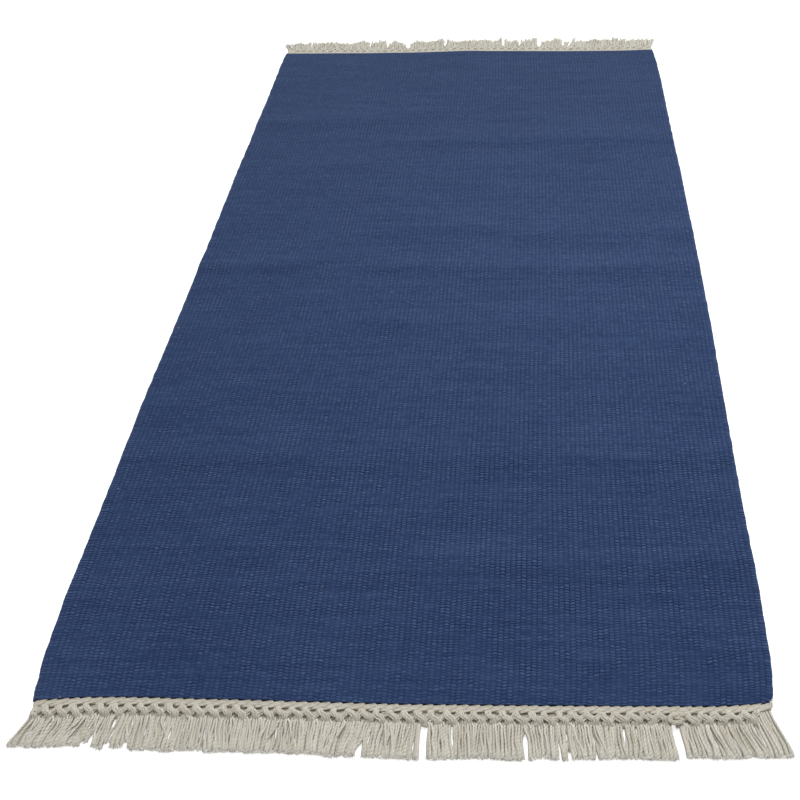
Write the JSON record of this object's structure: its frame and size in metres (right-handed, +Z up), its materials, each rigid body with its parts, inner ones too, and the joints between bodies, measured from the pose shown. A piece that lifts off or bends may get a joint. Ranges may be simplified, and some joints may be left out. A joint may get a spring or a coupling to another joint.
{
  "type": "kilim rug",
  "caption": "Flat-woven rectangular floor rug with lengthwise ribs, a corded heading, a knotted row and a loose fringe at each end.",
  "frame": {"origin": "on the floor under the middle of the rug, fringes included", "axes": "+Y along the rug's length towards its back end, +X across its width, +Z up from the floor"},
  "size_m": [0.723, 1.515, 0.0074],
  "materials": {
    "blue_wool": "matt weft-faced wool weave, thick lengthwise ribs, slight unevenness of dye from pick to pick",
    "ecru_yarn": "undyed plied yarn, matt, corded in the heading, knotted and then loose in the fringe"
  },
  "bodies": {
    "root": {"field": "blue_wool", "heading_front": "ecru_yarn", "heading_back": "ecru_yarn", "fringe_front": "ecru_yarn", "fringe_back": "ecru_yarn"}
  },
  "joints": []
}
